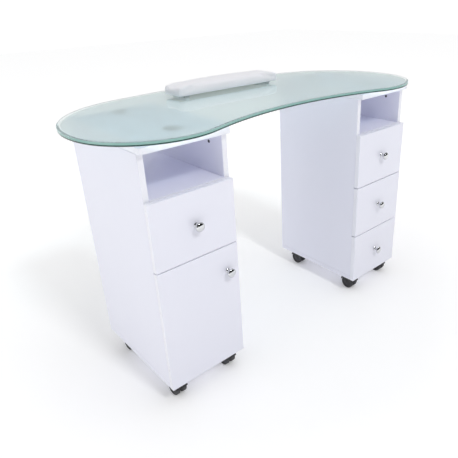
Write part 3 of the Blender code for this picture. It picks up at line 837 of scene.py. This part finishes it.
def caster_meshes(name):
    """The meshes of one caster, about the floor point under its swivel axis: hood, treads, hubs, stem."""
    hood_low, hood_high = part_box(f"{name}_hood")
    wheel_low, wheel_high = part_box(f"{name}_wheels")
    radius = (wheel_high.z - wheel_low.z) / 2
    swivel_y = swivel_axis(name).y
    axle = ((wheel_low.y + wheel_high.y) / 2 - swivel_y, (wheel_low.z + wheel_high.z) / 2)
    inner = radius + HOOD_CLEARANCE
    outer = inner + HOOD_WALL
    boss_low = axle[1] + radius + TRAVEL
    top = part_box("left_bottom_board")[0].z - TRAVEL
    web = arc(axle, (inner + outer) / 2, math.radians(-14), math.radians(190), 36)
    web += arc(axle, HUB_RADIUS, math.radians(225), math.radians(315), 10)
    neck_high = boss_low + HOOD_WALL / 2
    neck = [(axle[0] + HUB_RADIUS, neck_high), (BOSS_RADIUS * 0.8, neck_high),
            (STEM_RADIUS, axle[1] + BOSS_RADIUS), (axle[0] + HUB_RADIUS, axle[1])][::-1]
    boss = [(0.0, boss_low), (BOSS_RADIUS, boss_low), (BOSS_RADIUS, top - 0.0016),
            (BOSS_RADIUS * 0.93, top - 0.0006), (BOSS_RADIUS * 0.80, top), (0.0, top)]
    hood = united_mesh("caster_hood", [
        swept_guard(axle, inner, outer, (hood_high.x - hood_low.x) / 2),
        extruded(web, -HOOD_WEB / 2, HOOD_WEB / 2, 0.0006, TO_YZX),
        extruded(neck, -0.45 * HOOD_WEB, 0.45 * HOOD_WEB, 0.0, TO_YZX),
        turned(boss, steps=40),
    ], NYLON)
    near = WHEEL_GAP / 2
    far = near + WHEEL_WIDTH
    seat = radius - TREAD_DEPTH
    tread = [(seat, near), (radius - 0.0012, near), (radius - 0.0003, near + 0.0006), (radius, near + 0.002),
             (radius, far - 0.0035), (radius - 0.0006, far - 0.0018), (radius - 0.0020, far - 0.0006),
             (radius - 0.0032, far - 0.0001), (seat, far - 0.0001)]
    hub = [(0.0, near + 0.0004), (HUB_RADIUS * 0.6, near + 0.0004), (HUB_RADIUS * 0.7, near + 0.0016),
           (seat - 0.0006, near + 0.0016), (seat, near + 0.0008), (seat, far - 0.0006),
           (seat - 0.0012, far - 0.0002), (seat - 0.0022, far - 0.0014), (HUB_RADIUS, far - 0.0022),
           (HUB_RADIUS * 0.72, far - 0.0010), (HUB_RADIUS * 0.5, far - 0.0002), (HUB_RADIUS * 0.2, far),
           (0.0, far)]
    pin_end = near + 0.002
    pin = [(0.0, -pin_end), (PIN_RADIUS, -pin_end), (PIN_RADIUS, pin_end), (0.0, pin_end)]
    centre = Matrix.Translation((0.0, *axle))
    sides = [centre @ Matrix.Rotation(math.radians(turn), 4, "Y") for turn in (90, -90)]
    tyres = [turned(tread, side, hollow=True) for side in sides]
    cores = [turned(hub, side) for side in sides]
    treads = finished_mesh("caster_treads", joined(*tyres), TREAD)
    hubs = finished_mesh("caster_hubs", joined(*cores, turned(pin, sides[0], 20)), NYLON)
    stem = [(0.0, top - 0.004), (STEM_RADIUS, top - 0.004), (STEM_RADIUS, top + 0.0118),
            (STEM_RADIUS * 0.84, top + 0.0136), (0.0, top + 0.0136)]
    stem = finished_mesh("caster_stem", turned(stem, steps=32), ZINC)
    return hood, treads, hubs, stem


def swivel_axis(name):
    """The floor point under a caster's swivel axis, read from its joint."""
    joint = next(j for j in frame["joints"] if j["name"] == f"{name}_swivel")
    return Vector((*joint["pos_m"][:2], 0.0))


def make_casters():
    hood, treads, hubs, stem = caster_meshes(CASTERS[0])
    for name in CASTERS:
        place = swivel_axis(name)
        place_mesh(f"{name}_guard", hood, place, name, [f"{name}_hood"])
        place_mesh(f"{name}_stem", stem, place, name)
        place_mesh(f"{name}_treads", treads, place, f"{name}_roll", [f"{name}_wheels"])
        place_mesh(f"{name}_hubs", hubs, place, f"{name}_roll")


# ---- drawers

def screw_head(point, axis, radius=SCREW_RADIUS):
    """A pan-head screw with a cross recess, standing on point and facing along axis."""
    high = radius * 0.55
    profile = [(0.0, 0.0), (radius, 0.0), (radius, high * 0.35), (radius * 0.9, high * 0.7),
               (radius * 0.6, high), (radius * 0.34, high), (radius * 0.22, high * 0.35), (0.0, high * 0.2)]
    place = facing(point, axis)
    head = turned(profile, place, 24)
    slot = radius * 0.12
    long = radius * 0.55
    cross = []
    for x, y in ((long, slot), (slot, long)):
        bar = rounded_box((-x, -y, high * 0.9), (x, y, high * 1.04), slot * 0.3, 1)
        bmesh.ops.transform(bar, matrix=place, verts=bar.verts[:])
        cross.append(bar)
    return joined(head, *cross)


def wall_ring(low, high, wall, corner=0.0009):
    """Four drawer walls in one ring, rounded along their upper edges."""
    outer = [(low.x, low.y), (high.x, low.y), (high.x, high.y), (low.x, high.y)]
    shape = bmesh.new()
    soft = corner * 0.3
    levels = [(0.0, low.z), (0.0, high.z - corner), (soft, high.z - soft), (corner, high.z),
              (wall - corner, high.z), (wall - soft, high.z - soft), (wall, high.z - corner), (wall, low.z)]
    rings = [[shape.verts.new((x, y, z)) for x, y in offset(outer, inset)] for inset, z in levels]
    skin(shape, rings + [rings[0]])
    return shape


def make_drawer_box(name):
    """Walls, a thin bottom let into them, the screws that hold the front, and a steel rail on each side."""
    low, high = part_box(f"{name}_box")
    low = Vector((low.x + RAIL_REACH, low.y, low.z))
    high = Vector((high.x - RAIL_REACH, high.y, high.z))
    piece(f"{name}_walls", wall_ring(low, high, DRAWER_WALL), LAMINATE, name, [f"{name}_box"])
    inset = Vector((DRAWER_WALL - 0.001, DRAWER_WALL - 0.001, 0.0))
    base_low = low + inset + Vector((0.0, 0.0, DRAWER_FLOOR - DRAWER_FLOOR_BOARD))
    base_high = Vector((high.x - inset.x, high.y - inset.y, low.z + DRAWER_FLOOR))
    piece(f"{name}_bottom", rounded_box(base_low, base_high, 0.0004, 2), LAMINATE, name)
    inside = low.y + DRAWER_WALL
    heads = []
    for x in (low.x + FRONT_SCREW_SIDE, high.x - FRONT_SCREW_SIDE):
        for z in (low.z + FRONT_SCREW_LIFT, high.z - FRONT_SCREW_DROP):
            heads.append(screw_head((x, inside, z), (0.0, 1.0, 0.0)))
    piece(f"{name}_front_screws", joined(*heads), ZINC, name)
    for side, edge, sense in (("left", low.x, -1), ("right", high.x, 1)):
        make_rail(f"{name}_rail_{side}", name, edge, sense, low, high)


def make_rail(name, body, edge, sense, low, high):
    """The drawer's steel member: an upright web against the side, a sole, and a roller at the rear."""
    sole = low.z + RAIL_LIFT
    top = sole + RAIL_HEIGHT
    reach = edge + sense * (RAIL_REACH - TRAVEL)
    web = edge + sense * 0.0012
    step = sole + 0.0012
    section = [(edge, sole), (reach, sole), (reach, step), (web, step), (web, top), (edge, top)]
    if sense < 0:
        section.reverse()
    rail = extruded(section, -high.y + 0.004, -low.y - 0.004, 0.0, TO_XZ_FRONT)
    piece(name, rail, ENAMEL, body)
    middle = (step + top) / 2
    radius = (top - sole) / 2 - 0.0012
    wheel = [(0.0, 0.0), (radius * 0.92, 0.0), (radius, 0.0006), (radius, 0.0050), (radius * 0.92, 0.0056),
             (radius * 0.45, 0.0056), (radius * 0.40, 0.0062), (0.0, 0.0062)]
    place = facing((web, high.y - 0.014, middle), (sense, 0.0, 0.0))
    piece(f"{name}_roller", turned(wheel, place, 32), ROLLER, body)


def make_runner(name):
    """The cabinet's steel member: a channel with rounded bends, against the panel."""
    low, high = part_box(name)
    opens_right = name.endswith("left")
    wall, lip, sense = (low.x, high.x, 1) if opens_right else (high.x, low.x, -1)
    bend = SHEET * 0.8
    outer = [(lip, low.z), (wall, low.z), (wall, high.z), (lip, high.z)]
    corners = [outer[0], *eased((wall + sense * bend, low.z), outer[1], (wall, low.z + bend), 3),
               *eased((wall, high.z - bend), outer[2], (wall + sense * bend, high.z), 3), outer[3]]
    web = wall + sense * SHEET
    hollow = [(lip, high.z - SHEET), *eased((web + sense * bend, high.z - SHEET), (web, high.z - SHEET),
              (web, high.z - SHEET - bend), 3), *eased((web, low.z + SHEET + bend), (web, low.z + SHEET),
              (web + sense * bend, low.z + SHEET), 3), (lip, low.z + SHEET)]
    section = corners + hollow
    if opens_right:
        section.reverse()
    channel = extruded(section, -high.y, -low.y, 0.0, TO_XZ_FRONT)
    piece(f"{name}_channel", channel, ENAMEL, "root", [name])


# ---- door hinges

def make_hinge(which):
    """The cup with its screwed flange rides on the door; the arm on its plate stays on the side panel."""
    low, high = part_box(f"door_hinge_cup_{which}")
    centre = (low + high) / 2
    r = (high.x - low.x) / 2
    depth = high.y - low.y
    wall = HINGE_CUP_WALL
    cup = [(0.0, 0.0), (r * 0.90, 0.0), (r * 0.97, 0.0006), (r, 0.0018), (r, depth), (r - wall, depth),
           (r - wall, wall + 0.001), (r - wall * 1.8, wall), (0.0, wall)]
    place = facing((centre.x, low.y, centre.z), (0.0, 1.0, 0.0))
    cup_name = f"door_hinge_cup_{which}"
    piece(f"{cup_name}_steel", turned(cup, place), ZINC, "door", [cup_name])
    side_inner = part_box("left_outer_side")[1].x
    flange_low = side_inner + TRAVEL
    flange_high = centre.x + 0.013
    face = high.y + HINGE_FLANGE
    half = r + 0.011
    outline = rounded_loop((flange_low, centre.z - half), (flange_high, centre.z + half), 0.004, 4)
    hole = arc((centre.x, centre.z), r - wall * 0.5, 0.0, ROUND * 39 / 40, 39)
    flange = finished_mesh("flange", extruded(outline, high.y, face, 0.0, TO_XZY), ZINC)
    flange = linked("flange", flange)
    drill = finished_mesh("drill", extruded(hole, high.y - 0.01, high.y + 0.01, 0.0, TO_XZY), ZINC)
    cut_out(flange, linked("drill", drill))
    flange.name = f"{cup_name}_flange"
    settle(flange, "door")
    heads = [screw_head((centre.x + 0.001, face, centre.z + sign * (r + 0.0055)), (0.0, 1.0, 0.0))
             for sign in (-1, 1)]
    piece(f"{cup_name}_screws", joined(*heads), ZINC, "door")
    make_hinge_arm(which)


def make_hinge_arm(which):
    """The arm: a bent steel profile on a winged plate, screwed to the side panel."""
    node = f"door_hinge_arm_{which}"
    low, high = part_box(node)
    middle = (low.z + high.z) / 2
    half = (high.z - low.z) / 2
    length = high.y - low.y
    height = high.x - low.x
    plate = rounded_box((low.x, low.y + 0.30 * length, middle - half),
                        (low.x + 0.0022, high.y, middle + half), 0.0006, 2)
    wings = rounded_box((low.x, low.y + 0.50 * length, middle - 0.020),
                        (low.x + 0.0018, low.y + 0.70 * length, middle + 0.020), 0.0007, 2)
    side = [(low.x + 0.30 * height, high.y - 0.004), (high.x - 0.0024, high.y - 0.012),
            (high.x - 0.0004, low.y + 0.012), (high.x - 0.0004, low.y + 0.003), (high.x - 0.0030, low.y),
            (high.x - 0.0046, low.y + 0.004), (low.x + 0.45 * height, low.y + 0.26 * length),
            (low.x + 0.0022, low.y + 0.34 * length), (low.x + 0.0022, high.y - 0.004)]
    arm = extruded(side[::-1], middle - half * 0.72, middle + half * 0.72, 0.0007)
    steel = united_mesh(f"{node}_steel", [plate, wings, arm], ZINC)
    settle(linked(f"{node}_steel", steel), "root", [node])
    points = [(low.x + 0.0018, low.y + 0.60 * length, middle + rise) for rise in (-0.0145, 0.0145)]
    points.append((high.x - 0.0016, low.y + 0.55 * length, middle))
    heads = [screw_head(point, (1.0, 0.0, 0.0), 0.003) for point in points]
    piece(f"{node}_screws", joined(*heads), ZINC, "root")


# ---- panels

def strip(low, high, axis, sense):
    """Edge band on the face of a panel that points along an axis, as long and wide as the flat there."""
    low = [value + EDGE_ROUND for value in low]
    high = [value - EDGE_ROUND for value in high]
    face = high[axis] + EDGE_ROUND if sense > 0 else low[axis] - EDGE_ROUND
    low[axis], high[axis] = sorted((face - sense * BAND, face + sense * BAND))
    return rounded_box(low, high, BAND * 0.45, 1)


def make_bands():
    """Edge band on the front and rear edges of the carcasses, and all round each top board and front."""
    for side in SIDES:
        boards = [f"{side}_{name}" for name in ("outer_side", "inner_side", "shelf", "bottom_board")]
        strips = [strip(*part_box(name), 1, sense) for name in boards for sense in (-1, 1)]
        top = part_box(f"{side}_top_board")
        strips += [strip(*top, axis, sense) for axis in (0, 1) for sense in (-1, 1)]
        if side == "left":
            strips.append(strip(*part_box("left_divider"), 1, -1))
        piece(f"{side}_edge_bands", joined(*strips), BAND_PLASTIC, "root")
    for body in (*DRAWERS, "door"):
        node = "door_panel" if body == "door" else f"{body}_front"
        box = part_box(node)
        round_edges = [strip(*box, axis, sense) for axis in (0, 2) for sense in (-1, 1)]
        piece(f"{body}_edge_bands", joined(*round_edges), BAND_PLASTIC, body)


def make_lock_caps():
    """Plastic caps over the cam locks, on the inner faces of the side panels under the top board."""
    for side in SIDES:
        walls = (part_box(f"{side}_outer_side"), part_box(f"{side}_inner_side"))
        left, right = sorted(walls, key=lambda box: box[0].x)
        front = left[0].y
        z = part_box(f"{side}_top_board")[0].z - CAP_DROP
        r = CAP_RADIUS
        profile = [(0.0, -0.001), (r, -0.001), (r, 0.0005), (r * 0.88, 0.0010), (r * 0.55, 0.0011),
                   (r * 0.50, 0.0007), (0.0, 0.0007)]
        for wall, x, sense in (("left", left[1].x, 1), ("right", right[0].x, -1)):
            for row, y in (("front", front + CAP_FRONT_Y), ("rear", front + CAP_REAR_Y)):
                cap = turned(profile, facing((x, y, z), (sense, 0.0, 0.0)), 32)
                piece(f"{side}_lock_cap_{wall}_{row}", cap, CAP, "root")


# ---- stage

SKY = (0.70, 0.117)  # world strength away from the dim side, and towards it
SKY_EDGE = (0.24, 0.80)  # where the strength falls, as a cosine from the dim side
MIRROR_SKY = (0.70, 0.03)  # the same two for reflections
MIRROR_EDGE = (-0.25, 0.20)
BACKDROP = 1.1
DIM_SIDE = Vector((-0.45, -0.88, -0.15)).normalized()
FLOOR_GLOW = (0.16, 0.42)  # strength of the floor's painted glow: near the table, where it lifts the shadows, and far from it
FLOOR_REACH = (0.6, 1.8)  # where the floor begins and ends to brighten
FLOOR_SIZE = 12.0

# Area lights: place, the point they face, size and watts
LIGHTS = {
    "front_softbox": ((-1.9, -2.6, 1.1), (0.0, -0.1, 0.40), (1.8, 1.4), 2.5),
    "key": ((-0.1, -4.0, 4.5), (0.0, 0.0, 0.4), (0.7, 0.7), 86.0),
    "top_softbox": ((0.3, -0.3, 3.0), (0.0, 0.0, 0.4), (1.2, 1.2), 5.0),
    "left_softbox": ((-3.0, 0.2, 0.9), (0.0, 0.0, 0.35), (2.0, 1.6), 10.3),
}

CAMERA_PLACE = (-0.9608, -1.1453, 1.0190)
CAMERA_AZIMUTH = 41.7343  # degrees from +Y towards +X
CAMERA_FALL = 24.3001  # how far it looks down
CAMERA_ROLL = -1.8464
CAMERA_LENS = 37.3566  # mm, for a sensor 36 mm wide
CAMERA_SHIFT = (-0.0848, -0.0352)


def add_area(name, place, target, size, power):
    """A rectangular lamp that the camera doesn't see."""
    light = bpy.data.lights.new(name, "AREA")
    light.shape = "RECTANGLE"
    light.size, light.size_y = size
    light.energy = power
    obj = linked(name, light)
    obj.location = place
    obj.rotation_euler = (Vector(target) - Vector(place)).to_track_quat("-Z", "Y").to_euler()
    obj.visible_camera = False


def make_world():
    """A white studio, dim behind the camera, with plain white as its backdrop.

    Reflections see the dim side wider and darker, as the room behind a studio set.
    """
    world = bpy.data.worlds.new("studio")
    world.use_nodes = True
    tree = world.node_tree
    nodes = tree.nodes
    links = tree.links
    towards = nodes.new("ShaderNodeVectorMath")
    towards.operation = "DOT_PRODUCT"
    towards.inputs[1].default_value = DIM_SIDE
    links.new(nodes.new("ShaderNodeTexCoord").outputs["Generated"], towards.inputs[0])

    def strength(edge, values):
        fall = map_range(tree, towards.outputs["Value"], *edge, *values)
        fall.interpolation_type = "SMOOTHSTEP"
        return fall.outputs["Result"]

    def background(level):
        node = nodes.new("ShaderNodeBackground")
        node.inputs["Color"].default_value = (1.0, 1.0, 1.0, 1.0)
        if isinstance(level, float):
            node.inputs["Strength"].default_value = level
        else:
            links.new(level, node.inputs["Strength"])
        return node.outputs["Background"]

    lit = background(strength(SKY_EDGE, SKY))
    mirrored = background(strength(MIRROR_EDGE, MIRROR_SKY))
    room = choose(tree, "Is Glossy Ray", lit, mirrored)
    seen = choose(tree, "Is Camera Ray", room, background(BACKDROP))
    links.new(seen, nodes["World Output"].inputs["Surface"])
    bpy.context.scene.world = world


def make_floor():
    shape = bmesh.new()
    bmesh.ops.create_grid(shape, x_segments=8, y_segments=8, size=FLOOR_SIZE)
    mesh = bpy.data.meshes.new("floor")
    shape.to_mesh(mesh)
    shape.free()
    mesh.materials.append(floor_finish())
    floor = linked("floor", mesh)


def make_studio():
    make_world()
    make_floor()
    scene = bpy.context.scene
    scene.view_settings.view_transform = "Standard"
    scene.cycles.diffuse_bounces = 8
    for name, settings in LIGHTS.items():
        add_area(name, *settings)


def make_camera():
    """It stands in front of the table and to its left, and looks down at it."""
    azimuth = math.radians(CAMERA_AZIMUTH)
    fall = math.radians(CAMERA_FALL)
    roll = math.radians(CAMERA_ROLL)
    ahead = Vector((math.sin(azimuth), math.cos(azimuth), 0.0))
    forward = ahead * math.cos(fall) - Vector((0.0, 0.0, math.sin(fall)))
    level = Vector((math.cos(azimuth), -math.sin(azimuth), 0.0))
    upright = level.cross(forward)
    right = math.cos(roll) * level + math.sin(roll) * upright
    up = -math.sin(roll) * level + math.cos(roll) * upright
    data = bpy.data.cameras.new("camera")
    data.sensor_width = 36.0
    data.lens = CAMERA_LENS
    data.shift_x, data.shift_y = CAMERA_SHIFT
    camera = linked("camera", data)
    turn = Matrix((right, up, -forward)).transposed().to_4x4()
    camera.matrix_world = Matrix.Translation(CAMERA_PLACE) @ turn
    bpy.context.scene.camera = camera


# ---- assembly

def finish_cad_nodes():
    """Give the panels and other CAD nodes that stay their detailed materials."""
    by_word = {"runner": ENAMEL, "hinge": ZINC, "hood": NYLON, "wheels": TREAD}
    for name, node in frame["nodes"].items():
        found = [finish for word, finish in by_word.items() if word in name]
        node.data.materials.clear()
        node.data.materials.append(found[0] if found else LAMINATE)


finish_cad_nodes()
make_glass()
make_glass_pads()
make_cushion()
make_armrest_base()
for node, body in KNOBS.items():
    make_knob(node, body)
make_casters()
for name in DRAWERS:
    make_drawer_box(name)
    make_runner(f"{name}_runner_left")
    make_runner(f"{name}_runner_right")
make_hinge("lower")
make_hinge("upper")
make_bands()
make_lock_caps()
make_studio()
make_camera()
